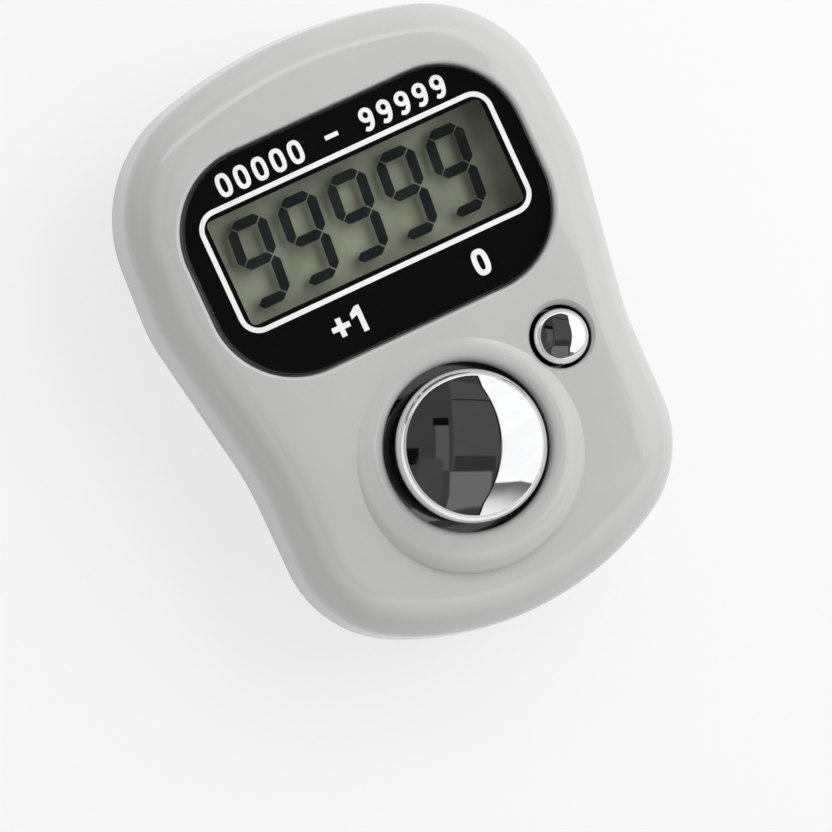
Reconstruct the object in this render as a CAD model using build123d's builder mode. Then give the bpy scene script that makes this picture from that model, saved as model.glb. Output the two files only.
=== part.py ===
from build123d import *
import os
from math import asin, cos, degrees, sin, sqrt

# A finger tally counter lying on its back: a pear-shaped case of two shells, a five-digit liquid
# crystal display under a printed lens, a large count button, a small reset button and the works.
# Millimetres. X runs across the display, Y from the buttons to the display, Z out of the front.
# The origin is the middle of the flat back.

# Case outline, seen from the front
case_length = 40.0
case_width = 30.5  # at the widest place
shoulder_inset = 0.6
tail_inset = 1.9
head_end_radius = 31.0
tail_end_radius = 20.0
head_depth = 14.0  # from the display end to the widest place
waist_depth = 15.0  # from the button end to the waist
shoulder_radius = 9.0
head_radius = 10.0
waist_radius = 20.0
hip_radius = 7.5

# Case section
face_height = 11.8  # from the back to the face round the lens
parting_height = 6.3
wall = 1.3
face_thickness = 1.8
back_thickness = 1.5
front_taper = 5.0
back_taper = 13.0
face_edge_radius = 2.8
back_edge_radius = 2.2
head_fall_radius = 14.0  # the face falls away past the lens, to the display end
tail_fall_radius = 90.0  # and more gently to the button end
side_flat = 9.5  # half the width over which the face is level
side_fall_radius = 16.0  # the face falls away past it, to both flanks
fall_margin = 0.7
fall_run = 3.0  # straight run past each end of the crowned line
lip_thickness = 0.6
lip_height = 0.9
lip_gap = 0.1
seam_chamfer = 0.12
cut_over = 1.0  # how far a cut runs past the face it opens
tiny = 0.001  # slack when edges are picked by place
level_share = 0.6  # a face whose normal rises this much belongs to the top

# Lens and print
lens_width = 23.4
lens_height = 14.9
lens_corner_radius = 5.5
lens_thickness = 1.0
lens_edge_chamfer = 0.15
lens_end_margin = 5.35  # from the display end to the lens
lens_x = -0.2  # the lens sits a little left of the framed window
lens_gap = 0.1
seat_edge_radius = 0.25
print_thickness = 0.1
tape_thickness = 0.15
tape_width = 0.9
line_length = 20.4
line_height = 8.06
line_width = 0.33
line_corner_radius = 1.2
line_rise = 0.5  # the framed window sits this much above the middle of the lens
window_border = 0.3  # black left between the white line and the clear window
window_corner_radius = 0.35

# Display cell
glass_thickness = 0.7
cell_gap = 0.05
polariser_thickness = 0.15
glass_width = 22.0
rear_glass_height = 8.8
ledge_height = 1.8  # contact ledge of the front glass, towards the buttons
seal_width = 0.6
display_opening_margin = 0.2  # the shell's opening past the white line
digit_count = 5
digit_height = 5.8
digit_width = 2.72
digit_pitch = 3.52
digit_lean_share = 0.09  # run per rise
digit_start = 1.1  # from the window's left edge to the first digit
segment_width = 0.66
segment_gap = 0.06

# Display holder and connector
holder_wall = 0.9
holder_gap = 0.1
holder_shelf = 1.3
connector_thickness = 1.4
connector_end_margin = 0.6
connector_inset = 0.2

# Board
board_bottom = 4.8
board_thickness = 0.8
board_gap = 0.5
pad_thickness = 0.05
pad_radius_over = 0.2
pad_split = 0.3
blob_radius = 3.0
blob_height = 0.9
blob_y = -8.4
chip_length = 1.6
chip_width = 0.8
chip_height = 0.5
chip_x = 5.2
chip_y = -7.6

# Count button
count_x = -0.5
count_end_margin = 11.55  # from the button end to the middle of the button
count_diameter = 9.8
count_gap = 0.5
count_crown_inset = 0.4
count_side_rise = 0.75  # straight side above the collar
count_shoulder_rise = 1.0
count_dome_rise = 0.6
count_edge_radius = 0.3
count_travel = 0.8
count_stem_radius = 2.0
count_skin = 1.0
collar_width = 2.7
collar_edge_radius = 1.8
collar_stand = 0.1  # above the flat face
count_lip_radius = 0.7

# Reset button
reset_x = 8.0
reset_end_margin = 15.35
reset_diameter = 3.6
reset_gap = 0.24
reset_crown_inset = 0.45
reset_side_drop = 0.15  # the straight side ends below the flat face
reset_shoulder_rise = 0.5
reset_dome_rise = 0.15
reset_edge_radius = 0.25
reset_travel = 0.6
reset_stem_radius = 0.9
reset_lip = 0.35

# Button guides, flanges and rubber domes
guide_bottom = 8.9
guide_wall = 0.95
flange_gap = 0.05
flange_thickness = 0.75
flange_reach = 0.65  # flange past the hole in the face
stem_bottom = 7.9
dome_base_height = 0.6
dome_base_width = 1.0
dome_skirt = 0.35
dome_spread = 1.5  # run of the skirt
dome_boss_over = 0.2
contact_thickness = 0.4
contact_inset = 0.5
contact_gap = 0.05
reset_dome_spread = 0.55
reset_dome_base_width = 0.6
reset_contact_inset = 0.2

# Cell, contacts and battery door
battery_diameter = 11.6
battery_thickness = 3.05
battery_cap_inset = 0.8
battery_cap_height = 0.4
battery_edge_radius = 0.3
battery_y = 4.6
battery_gap = 0.2
battery_lift = 0.05
door_rim = 0.8  # door past its neck
door_thickness = 0.75
door_setback = 0.1
door_gap = 0.15
door_seat_gap = 0.05
door_edge_chamfer = 0.15
neck_wall = 0.5
lug_reach = 0.65
lug_thickness = 0.6
lug_gap = 0.1
lug_sweep = 30.0
notch_sweep = 36.0
door_turn = 70.0
coin_slot_length = 9.0
coin_slot_width = 1.4
coin_slot_depth = 0.35
well_wall = 0.95
well_top = 4.35
contact_strip = 0.2
positive_width = 2.4
positive_slot_gap = 0.5
positive_foot = 3.0
positive_tip_height = 2.6
negative_width = 2.4
negative_foot_end = 7.0  # these four are from the middle of the cell
negative_foot_start = 4.8
negative_touch = 0.8
negative_tip = -0.7
negative_tip_lift = 0.2
leaf_gap = 0.03

# Screws and their posts
screw_head_radius = 1.25
screw_head_height = 0.8
screw_head_gap = 0.2
screw_seat_height = 1.2
screw_radius = 0.7
screw_hole_gap = 0.2
screw_tip_height = 8.4
screw_pilot_gap = 0.02
screw_tip_gap = 0.3
screw_edge_chamfer = 0.2
cross_length = 1.5
cross_width = 0.36
cross_depth = 0.4
post_radius = 1.8
head_screw_margin = 5.1  # from the display end
tail_screw_margin = 7.6  # from the button end
tail_screw_x = 7.9

# Finger-band slots in the back
band_y = -5.5
band_width = 9.0
band_slot = 1.4
band_bar_inset = 2.8  # from the waist outline to the slot
band_bar_height = 2.0
band_wall = 0.9

# Places worked out from the sizes above
head_end = case_length / 2
tail_end = -case_length / 2
shoulder_x = case_width / 2 - shoulder_inset
tail_x = case_width / 2 - tail_inset
lens_y = head_end - lens_end_margin - lens_height / 2
lens_top = face_height
print_top = lens_top - lens_thickness
tape_top = print_top - print_thickness
seat_floor = tape_top - tape_thickness
ceiling = face_height - face_thickness
line_y = lens_y + line_rise
window_width = line_length - line_width - 2 * window_border
window_height = line_height - line_width - 2 * window_border
head_fall_y = head_end - lens_end_margin + fall_margin
tail_fall_y = lens_y - lens_height / 2 - fall_margin
board_top = board_bottom + board_thickness
count_y = tail_end + count_end_margin
reset_y = tail_end + reset_end_margin
count_hole_radius = count_diameter / 2 + count_gap
reset_hole_radius = reset_diameter / 2 + reset_gap
count_flange_radius = count_hole_radius + flange_reach
reset_flange_radius = reset_hole_radius + flange_reach
collar_radius = count_hole_radius + collar_width
collar_top = face_height + collar_stand
flange_top = guide_bottom - flange_gap
flange_bottom = flange_top - flange_thickness
polariser_bottom = ceiling - polariser_thickness
front_glass_bottom = polariser_bottom - glass_thickness
rear_glass_top = front_glass_bottom - cell_gap
rear_glass_bottom = rear_glass_top - glass_thickness
reflector_bottom = rear_glass_bottom - polariser_thickness
front_glass_height = rear_glass_height + ledge_height
front_glass_y = line_y - ledge_height / 2
ledge_edge_y = front_glass_y - front_glass_height / 2
connector_y = ledge_edge_y + connector_inset + connector_thickness / 2
connector_length = glass_width - 2 * connector_end_margin
screw_places = (
    (0, head_end - head_screw_margin),
    (tail_screw_x, tail_end + tail_screw_margin),
    (-tail_screw_x, tail_end + tail_screw_margin),
)
battery_radius = battery_diameter / 2
door_inside = door_setback + door_thickness
door_ledge = door_inside + door_seat_gap
battery_bottom = door_inside + battery_lift
battery_top = battery_bottom + battery_thickness
neck_radius = battery_radius + battery_gap + neck_wall
door_radius = neck_radius + door_rim
lug_radius = neck_radius + lug_reach
lug_bottom = back_thickness + lug_gap
lug_top = lug_bottom + lug_thickness
chamber_top = lug_top + door_gap
chamber_radius = lug_radius + 2 * door_gap
well_radius = chamber_radius + well_wall
slot_inner = tail_x - band_bar_inset - band_slot
slot_top = band_bar_height + band_slot
back_plane = Plane(origin=(0, 0, parting_height), x_dir=(-1, 0, 0), z_dir=(0, 0, -1))


def arc_drop(radius, half_chord):
    """How far an arc of this radius falls over half its chord."""
    return radius - sqrt(radius**2 - half_chord**2)


def half_section(points):
    """Face inside closed (radius, height) points, to be turned about an upright axis."""
    with BuildSketch() as section:
        with BuildLine():
            Polyline(*points, close=True)
        make_face()
    return section.sketch


def crowned_side(drop):
    """Side view of the space under the crowned face lowered by drop, flat along the lens."""
    top = face_height - drop
    head_sweep = degrees(asin((head_end + cut_over - head_fall_y) / head_fall_radius))
    tail_sweep = degrees(asin((tail_fall_y + cut_over - tail_end) / tail_fall_radius))
    with BuildSketch() as side_view:
        with BuildLine():
            Line((tail_fall_y, top), (head_fall_y, top))
            head_fall = CenterArc((head_fall_y, top - head_fall_radius), head_fall_radius, 90, -head_sweep)
            tail_fall = CenterArc((tail_fall_y, top - tail_fall_radius), tail_fall_radius, 90, tail_sweep)
            Polyline(head_fall @ 1, ((head_fall @ 1).X, 0), ((tail_fall @ 1).X, 0), tail_fall @ 1)
        make_face()
    return side_view.sketch


def crowned_block():
    """Solid under the crowned face: a cross view that falls at both sides, carried along the side view."""
    head_turn = asin((head_end + cut_over - head_fall_y) / head_fall_radius)
    tail_turn = asin((tail_fall_y + cut_over - tail_end) / tail_fall_radius)
    side_turn = asin((case_width / 2 + cut_over - side_flat) / side_fall_radius)
    head_drop = head_fall_radius * (1 - cos(head_turn))
    tail_drop = tail_fall_radius * (1 - cos(tail_turn))
    head_point = Vector(0, head_end + cut_over, face_height - head_drop)
    tail_point = Vector(0, tail_end - cut_over, face_height - tail_drop)
    head_way = Vector(0, cos(head_turn), -sin(head_turn))
    tail_way = Vector(0, -cos(tail_turn), -sin(tail_turn))
    tail_knee = Vector(0, tail_fall_y, face_height)
    head_knee = Vector(0, head_fall_y, face_height)
    start = tail_point + tail_way * fall_run
    with BuildPart() as block:
        with BuildLine() as crown_line:
            Line(start, tail_point)
            TangentArc(tail_point, tail_knee, tangent=-tail_way)
            Line(tail_knee, head_knee)
            TangentArc(head_knee, head_point, tangent=(0, 1, 0))
            Line(head_point, head_point + head_way * fall_run)
        with BuildSketch(Plane(origin=start, x_dir=(-1, 0, 0), z_dir=-tail_way)):
            with BuildLine():
                Line((-side_flat, 0), (side_flat, 0))
                near_fall = CenterArc(
                    (side_flat, -side_fall_radius), side_fall_radius, 90, -degrees(side_turn)
                )
                far_fall = CenterArc(
                    (-side_flat, -side_fall_radius), side_fall_radius, 90, degrees(side_turn)
                )
                depth = face_height - parting_height + cut_over
                Polyline(
                    near_fall @ 1,
                    ((near_fall @ 1).X, -depth),
                    ((far_fall @ 1).X, -depth),
                    far_fall @ 1,
                )
            make_face()
        sweep(path=crown_line.line)
    return block.part


# Case outline: arcs at both ends, straight flanks, and every corner rounded
shoulder = (shoulder_x, head_end - arc_drop(head_end_radius, shoulder_x))
widest = (case_width / 2, head_end - head_depth)
waist = (tail_x, tail_end + waist_depth)
hip = (tail_x, tail_end + arc_drop(tail_end_radius, tail_x))
right_side = (shoulder, widest, waist, hip)
left_side = [(-x, y) for x, y in right_side]
corner_radii = (shoulder_radius, head_radius, waist_radius, hip_radius)

with BuildSketch() as case_outline:
    with BuildLine():
        ThreePointArc(right_side[0], (0, head_end), left_side[0])
        Polyline(*left_side)
        ThreePointArc(left_side[-1], (0, tail_end), right_side[-1])
        Polyline(*reversed(right_side))
    make_face()
    for (_, corner_y), corner_radius in zip(right_side, corner_radii):
        corners = case_outline.vertices().filter_by_position(Axis.Y, corner_y - tiny, corner_y + tiny)
        fillet(corners, corner_radius)

# Space inside the front shell
with BuildPart() as front_space:
    with BuildSketch(Plane.XY.offset(parting_height)):
        offset(case_outline.sketch, amount=-wall)
    extrude(amount=ceiling - parting_height, taper=front_taper)
    with BuildSketch(Plane.YZ):
        add(crowned_side(face_thickness))
    extrude(amount=case_width, both=True, mode=Mode.INTERSECT)

# Front shell: crowned face, raised collar round the count button, lens seat, guides and posts
with BuildPart() as front_shell:
    with BuildSketch(Plane.XY.offset(parting_height)):
        add(case_outline.sketch)
    extrude(amount=face_height - parting_height, taper=front_taper)
    chamfer(front_shell.faces().sort_by(Axis.Z)[0].edges(), seam_chamfer)
    add(crowned_block(), mode=Mode.INTERSECT)
    top_faces = front_shell.faces().filter_by(lambda f: f.normal_at().Z > level_share)
    top_edges = [e for f in top_faces for e in f.edges()]
    fillet([e for e in top_edges if sum(e.is_same(o) for o in top_edges) == 1], face_edge_radius)
    with BuildSketch(Plane.XZ.offset(-count_y)):
        with BuildLine():
            edge_start = (count_x + collar_radius, collar_top - collar_edge_radius)
            edge = JernArc(edge_start, (0, 1), collar_edge_radius, 90)
            Polyline(
                edge @ 1, (count_x, collar_top), (count_x, ceiling), (edge_start[0], ceiling), edge @ 0
            )
        make_face()
    revolve(axis=Axis((count_x, count_y, 0), (0, 0, 1)))
    add(front_space.part, mode=Mode.SUBTRACT)
    with BuildSketch(Plane.XY.offset(parting_height)):
        offset(case_outline.sketch, amount=lip_thickness + lip_gap - wall)
    extrude(amount=lip_height + lip_gap, mode=Mode.SUBTRACT)
    with BuildSketch(Plane.XY.offset(face_height)):
        with Locations((lens_x, lens_y)):
            RectangleRounded(
                lens_width + 2 * lens_gap, lens_height + 2 * lens_gap, lens_corner_radius + lens_gap
            )
    extrude(amount=seat_floor - face_height, mode=Mode.SUBTRACT)
    seat_x = lens_width / 2 + lens_gap + tiny
    seat_y = lens_height / 2 + lens_gap + tiny
    seat_edges = front_shell.edges().filter_by_position(Axis.X, lens_x - seat_x, lens_x + seat_x)
    seat_edges = seat_edges.filter_by_position(Axis.Y, lens_y - seat_y, lens_y + seat_y)
    seat_edges = seat_edges.filter_by(lambda e: e.bounding_box().min.Z > seat_floor + tiny)
    fillet(seat_edges, seat_edge_radius)
    with BuildSketch(Plane.XY.offset(seat_floor)):
        with Locations((0, line_y)):
            RectangleRounded(
                line_length + 2 * display_opening_margin,
                line_height + 2 * display_opening_margin,
                line_corner_radius,
            )
    extrude(amount=ceiling - seat_floor - cut_over, mode=Mode.SUBTRACT)
    with BuildSketch(Plane.XY.offset(guide_bottom)):
        with Locations((count_x, count_y)):
            Circle(count_hole_radius + guide_wall)
        with Locations((reset_x, reset_y)):
            Circle(reset_hole_radius + guide_wall)
    extrude(amount=ceiling - guide_bottom)
    with BuildSketch(Plane.XY.offset(guide_bottom - cut_over)):
        with Locations((count_x, count_y)):
            Circle(count_hole_radius)
        with Locations((reset_x, reset_y)):
            Circle(reset_hole_radius)
    extrude(amount=collar_top - guide_bottom + 2 * cut_over, mode=Mode.SUBTRACT)
    # Room under the guides for the flanges, where the falling face would reach down to them
    with BuildSketch(Plane.XY.offset(guide_bottom)):
        with Locations((count_x, count_y)):
            Circle(count_flange_radius + flange_gap)
        with Locations((reset_x, reset_y)):
            Circle(reset_flange_radius + flange_gap)
    extrude(amount=parting_height - guide_bottom, mode=Mode.SUBTRACT)
    collar_rims = front_shell.edges().filter_by(GeomType.CIRCLE)
    collar_rims = collar_rims.filter_by_position(Axis.Z, collar_top - tiny, collar_top + tiny)
    fillet(collar_rims.sort_by(SortBy.RADIUS)[0], count_lip_radius)
    with Locations((reset_x, reset_y, face_height)):
        Cone(
            reset_hole_radius,
            reset_hole_radius + 2 * reset_lip,
            2 * reset_lip,
            mode=Mode.SUBTRACT,
        )
    with BuildSketch(Plane.XY.offset(board_top)):
        with Locations(*screw_places):
            Circle(post_radius)
    extrude(amount=ceiling - board_top)
    with BuildSketch(Plane.XY.offset(board_top)):
        with Locations(*screw_places):
            Circle(screw_radius + screw_pilot_gap)
    extrude(amount=screw_tip_height + screw_tip_gap - board_top, mode=Mode.SUBTRACT)

# Rear shell: flat back, battery well, screw posts and a slot for the finger band at each side
with BuildPart() as rear_shell:
    with BuildSketch(back_plane):
        add(case_outline.sketch)
    extrude(amount=parting_height, taper=back_taper)
    fillet(rear_shell.faces().sort_by(Axis.Z)[0].edges(), back_edge_radius)
    chamfer(rear_shell.faces().sort_by(Axis.Z)[-1].edges(), seam_chamfer)
    with BuildSketch(back_plane):
        offset(case_outline.sketch, amount=-wall)
    extrude(amount=parting_height - back_thickness, taper=back_taper, mode=Mode.SUBTRACT)
    with BuildSketch(Plane.XY.offset(parting_height)):
        offset(case_outline.sketch, amount=lip_thickness - wall)
        offset(case_outline.sketch, amount=-wall, mode=Mode.SUBTRACT)
    extrude(amount=lip_height)
    # Screw posts and the wall of the battery well
    with BuildSketch(Plane.XY):
        with Locations(*screw_places):
            Circle(post_radius)
    extrude(amount=board_bottom)
    with BuildSketch(Plane.XY):
        with Locations((0, battery_y)):
            Circle(well_radius)
    extrude(amount=well_top)
    # Slots that the finger band is threaded through, each round a bar at the edge of the back
    with BuildSketch(Plane.XY.offset(back_thickness)):
        offset(case_outline.sketch, amount=-wall)
        with Locations((0, band_y)):
            Rectangle(case_width, band_width + 2 * band_wall, mode=Mode.INTERSECT)
            Rectangle(2 * (slot_inner - band_wall), case_length, mode=Mode.SUBTRACT)
    extrude(amount=slot_top + band_wall - back_thickness)
    with BuildSketch(Plane.XY):
        with Locations((0, band_y)):
            Rectangle(2 * (slot_inner + band_slot), band_width)
            Rectangle(2 * slot_inner, band_width, mode=Mode.SUBTRACT)
    extrude(amount=slot_top, mode=Mode.SUBTRACT)
    with BuildSketch(Plane.XY.offset(band_bar_height)):
        with Locations((0, band_y)):
            Rectangle(case_width, band_width)
            Rectangle(2 * slot_inner, band_width, mode=Mode.SUBTRACT)
    extrude(amount=band_slot, mode=Mode.SUBTRACT)
    # Screw seats
    with BuildSketch(Plane.XY):
        with Locations(*screw_places):
            Circle(screw_head_radius + screw_head_gap)
    extrude(amount=screw_seat_height, mode=Mode.SUBTRACT)
    with BuildSketch(Plane.XY):
        with Locations(*screw_places):
            Circle(screw_radius + screw_hole_gap)
    extrude(amount=board_bottom, mode=Mode.SUBTRACT)
    # Battery well: bore for the cell, chamber for the lugs, seat for the door, notches in its ledge
    bores = (
        (battery_radius + battery_gap, 0, well_top),
        (chamber_radius, back_thickness, chamber_top),
        (neck_radius + door_gap, 0, chamber_top),
        (door_radius + door_gap, 0, door_ledge),
    )
    for bore_radius, bore_bottom, bore_top in bores:
        with BuildSketch(Plane.XY.offset(bore_bottom)):
            with Locations((0, battery_y)):
                Circle(bore_radius)
        extrude(amount=bore_top - bore_bottom, mode=Mode.SUBTRACT)
    with BuildSketch(Plane.XY):
        with Locations((0, battery_y)):
            for notch_angle in (-door_turn, 180 - door_turn):
                SlotArc(
                    Edge.make_circle(
                        neck_radius + lug_gap / 2,
                        start_angle=notch_angle - notch_sweep / 2,
                        end_angle=notch_angle + notch_sweep / 2,
                    ),
                    2 * lug_reach + lug_gap,
                )
    extrude(amount=back_thickness, mode=Mode.SUBTRACT)
    with BuildSketch(Plane.XY.offset(chamber_top)):
        with Locations((0, battery_y - (battery_radius + well_radius) / 2)):
            Rectangle(positive_width + 2 * positive_slot_gap, well_radius - battery_radius + cut_over)
    extrude(amount=well_top - chamber_top, mode=Mode.SUBTRACT)

# Lens, its print with the white line, and the tape that holds it
with BuildPart() as display_lens:
    with BuildSketch(Plane.XY.offset(print_top)):
        with Locations((lens_x, lens_y)):
            RectangleRounded(lens_width, lens_height, lens_corner_radius)
    extrude(amount=lens_thickness)
    chamfer(display_lens.faces().sort_by(Axis.Z)[-1].edges(), lens_edge_chamfer)

with BuildPart() as white_line:
    with BuildSketch(Plane.XY.offset(tape_top)):
        with Locations((0, line_y)):
            RectangleRounded(
                line_length + line_width, line_height + line_width, line_corner_radius + line_width / 2
            )
            RectangleRounded(
                line_length - line_width,
                line_height - line_width,
                line_corner_radius - line_width / 2,
                mode=Mode.SUBTRACT,
            )
    extrude(amount=print_thickness)

with BuildPart() as lens_print:
    with BuildSketch(Plane.XY.offset(tape_top)):
        with Locations((lens_x, lens_y)):
            RectangleRounded(lens_width, lens_height, lens_corner_radius)
        with Locations((0, line_y)):
            RectangleRounded(window_width, window_height, window_corner_radius, mode=Mode.SUBTRACT)
    extrude(amount=print_thickness)
    add(white_line.part, mode=Mode.SUBTRACT)

with BuildPart() as lens_tape:
    with BuildSketch(Plane.XY.offset(seat_floor)):
        with Locations((lens_x, lens_y)):
            RectangleRounded(lens_width, lens_height, lens_corner_radius)
            RectangleRounded(
                lens_width - 2 * tape_width,
                lens_height - 2 * tape_width,
                lens_corner_radius - tape_width,
                mode=Mode.SUBTRACT,
            )
        with Locations((0, line_y)):
            RectangleRounded(
                line_length + 2 * display_opening_margin,
                line_height + 2 * display_opening_margin,
                line_corner_radius,
                mode=Mode.SUBTRACT,
            )
    extrude(amount=tape_thickness)

# Display cell, from the front polariser down to the reflector
with BuildPart() as front_polariser:
    with BuildSketch(Plane.XY.offset(polariser_bottom)):
        with Locations((0, line_y)):
            Rectangle(glass_width, rear_glass_height)
    extrude(amount=polariser_thickness)

with BuildPart() as front_glass:
    with BuildSketch(Plane.XY.offset(front_glass_bottom)):
        with Locations((0, front_glass_y)):
            Rectangle(glass_width, front_glass_height)
    extrude(amount=glass_thickness)

with BuildPart() as display_seal:
    with BuildSketch(Plane.XY.offset(rear_glass_top)):
        with Locations((0, line_y)):
            Rectangle(glass_width, rear_glass_height)
            Rectangle(
                glass_width - 2 * seal_width, rear_glass_height - 2 * seal_width, mode=Mode.SUBTRACT
            )
    extrude(amount=cell_gap)

with BuildPart() as rear_glass:
    with BuildSketch(Plane.XY.offset(rear_glass_bottom)):
        with Locations((0, line_y)):
            Rectangle(glass_width, rear_glass_height)
    extrude(amount=glass_thickness)

with BuildPart() as reflector:
    with BuildSketch(Plane.XY.offset(reflector_bottom)):
        with Locations((0, line_y)):
            Rectangle(glass_width, rear_glass_height)
    extrude(amount=polariser_thickness)


def segment_corners(start, end):
    """Bar with mitred ends from start to end, drawn upright on a digit's own corner points."""
    along = (Vector(*end) - Vector(*start)).normalized()
    across = Vector(-along.Y, along.X)
    half = segment_width / 2
    first = Vector(*start) + along * segment_gap
    last = Vector(*end) - along * segment_gap
    return [
        first,
        first + along * half - across * half,
        last - along * half - across * half,
        last,
        last - along * half + across * half,
        first + along * half + across * half,
    ]


# The six segments that show a nine, between the centre lines of the digit's bars
bar_x = digit_width / 2 - segment_width / 2
bar_y = digit_height / 2 - segment_width / 2
nine_segments = (
    ((-bar_x, bar_y), (bar_x, bar_y)),
    ((-bar_x, 0), (-bar_x, bar_y)),
    ((bar_x, 0), (bar_x, bar_y)),
    ((-bar_x, 0), (bar_x, 0)),
    ((bar_x, -bar_y), (bar_x, 0)),
    ((-bar_x, -bar_y), (bar_x, -bar_y)),
)

with BuildPart() as digits:
    with BuildSketch(Plane.XY.offset(rear_glass_top)):
        for place in range(digit_count):
            digit_x = -window_width / 2 + digit_start + digit_width / 2 + place * digit_pitch
            for bar_start, bar_end in nine_segments:
                corners = segment_corners(bar_start, bar_end)
                leaned = [(digit_x + c.X + digit_lean_share * c.Y, line_y + c.Y) for c in corners]
                Polygon(*leaned, align=None)
    extrude(amount=cell_gap)

# Holder that frames the display cell and the elastomer connector on the board
with BuildPart() as display_holder:
    with BuildSketch(Plane.XY.offset(board_top)):
        with Locations((0, front_glass_y)):
            Rectangle(
                glass_width + 2 * (holder_gap + holder_wall),
                front_glass_height + 2 * (holder_gap + holder_wall),
            )
    extrude(amount=ceiling - holder_gap - board_top)
    with BuildSketch(Plane.XY.offset(front_glass_bottom)):
        with Locations((0, front_glass_y)):
            Rectangle(glass_width + 2 * holder_gap, front_glass_height + 2 * holder_gap)
    extrude(amount=ceiling - front_glass_bottom, mode=Mode.SUBTRACT)
    with BuildSketch(Plane.XY.offset(reflector_bottom)):
        with Locations((0, line_y)):
            Rectangle(glass_width + 2 * holder_gap, rear_glass_height + 2 * holder_gap)
    extrude(amount=ceiling - reflector_bottom, mode=Mode.SUBTRACT)
    with BuildSketch(Plane.XY.offset(board_top)):
        with Locations((0, connector_y)):
            Rectangle(connector_length + 2 * holder_gap, connector_thickness + 2 * holder_gap)
        with Locations((0, line_y)):
            Rectangle(glass_width - 2 * holder_shelf, rear_glass_height - 2 * holder_shelf)
    extrude(amount=ceiling - board_top, mode=Mode.SUBTRACT)

with BuildPart() as connector_strip:
    with BuildSketch(Plane.XY.offset(board_top)):
        with Locations((0, connector_y)):
            Rectangle(connector_length, connector_thickness)
    extrude(amount=front_glass_bottom - board_top)

# Circuit board with the contact pads under both buttons and the parts on its back
with BuildPart() as circuit_board:
    with BuildSketch(Plane.XY.offset(board_bottom)):
        offset(case_outline.sketch, amount=-(wall + board_gap))
        with Locations(*screw_places):
            Circle(screw_radius + screw_hole_gap, mode=Mode.SUBTRACT)
    extrude(amount=board_thickness)

count_contact_radius = count_stem_radius - contact_inset
reset_contact_radius = reset_stem_radius - reset_contact_inset

with BuildPart() as contact_pads:
    with BuildSketch(Plane.XY.offset(board_top)):
        with Locations((count_x, count_y)):
            Circle(count_contact_radius + pad_radius_over)
        with Locations((reset_x, reset_y)):
            Circle(reset_contact_radius + pad_radius_over)
        with Locations((count_x, count_y), (reset_x, reset_y)):
            Rectangle(pad_split, count_diameter, mode=Mode.SUBTRACT)
    extrude(amount=pad_thickness)

with BuildPart() as chip_blob:
    with BuildSketch(Plane.XZ.offset(-blob_y)):
        with BuildLine():
            bulge = SagittaArc((-blob_radius, board_bottom), (blob_radius, board_bottom), -blob_height)
            Line(bulge @ 1, bulge @ 0)
        make_face()
        split(bisect_by=Plane.YZ, keep=Keep.TOP)
    revolve(axis=Axis((0, blob_y, 0), (0, 0, 1)))

with BuildPart() as chip_resistor:
    with BuildSketch(Plane.XY.offset(board_bottom - chip_height)):
        with Locations((-chip_x, chip_y)):
            Rectangle(chip_length, chip_width)
    extrude(amount=chip_height)

with BuildPart() as chip_capacitor:
    with BuildSketch(Plane.XY.offset(board_bottom - chip_height)):
        with Locations((chip_x, chip_y)):
            Rectangle(chip_length, chip_width)
    extrude(amount=chip_height)

# Count button: plated cap with a stem and a flange that the guide stops
count_radius = count_diameter / 2
count_side_top = collar_top + count_side_rise
count_crown = (count_radius - count_crown_inset, count_side_top + count_shoulder_rise)
count_hollow_radius = count_radius - count_skin
count_hollow_top = count_side_top - count_skin

with BuildPart() as count_button:
    with BuildSketch(Plane.XZ.offset(-count_y)) as count_section:
        with BuildLine():
            side_top = (count_x + count_radius, count_side_top)
            crown_edge = (count_x + count_crown[0], count_crown[1])
            apex = (count_x, count_crown[1] + count_dome_rise)
            far_edge = (count_x - count_crown[0], count_crown[1])
            TangentArc(side_top, crown_edge, tangent=(0, 1))
            ThreePointArc(crown_edge, apex, far_edge)
            Polyline(
                far_edge,
                (count_x - count_crown[0], stem_bottom),
                (count_x + count_stem_radius, stem_bottom),
                (count_x + count_stem_radius, count_hollow_top),
                (count_x + count_hollow_radius, count_hollow_top),
                (count_x + count_hollow_radius, flange_bottom),
                (count_x + count_flange_radius, flange_bottom),
                (count_x + count_flange_radius, flange_top),
                (count_x + count_radius, flange_top),
                side_top,
            )
        make_face()
        rims = count_section.vertices().filter_by_position(
            Axis.X, crown_edge[0] - tiny, crown_edge[0] + tiny
        )
        fillet(rims, count_edge_radius)
        split(bisect_by=Plane.YZ.offset(count_x), keep=Keep.TOP)
    revolve(axis=Axis((count_x, count_y, 0), (0, 0, 1)))

# Reset button, made the same way and solid
reset_radius = reset_diameter / 2
reset_side_top = face_height - reset_side_drop
reset_crown = (reset_radius - reset_crown_inset, reset_side_top + reset_shoulder_rise)

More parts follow.
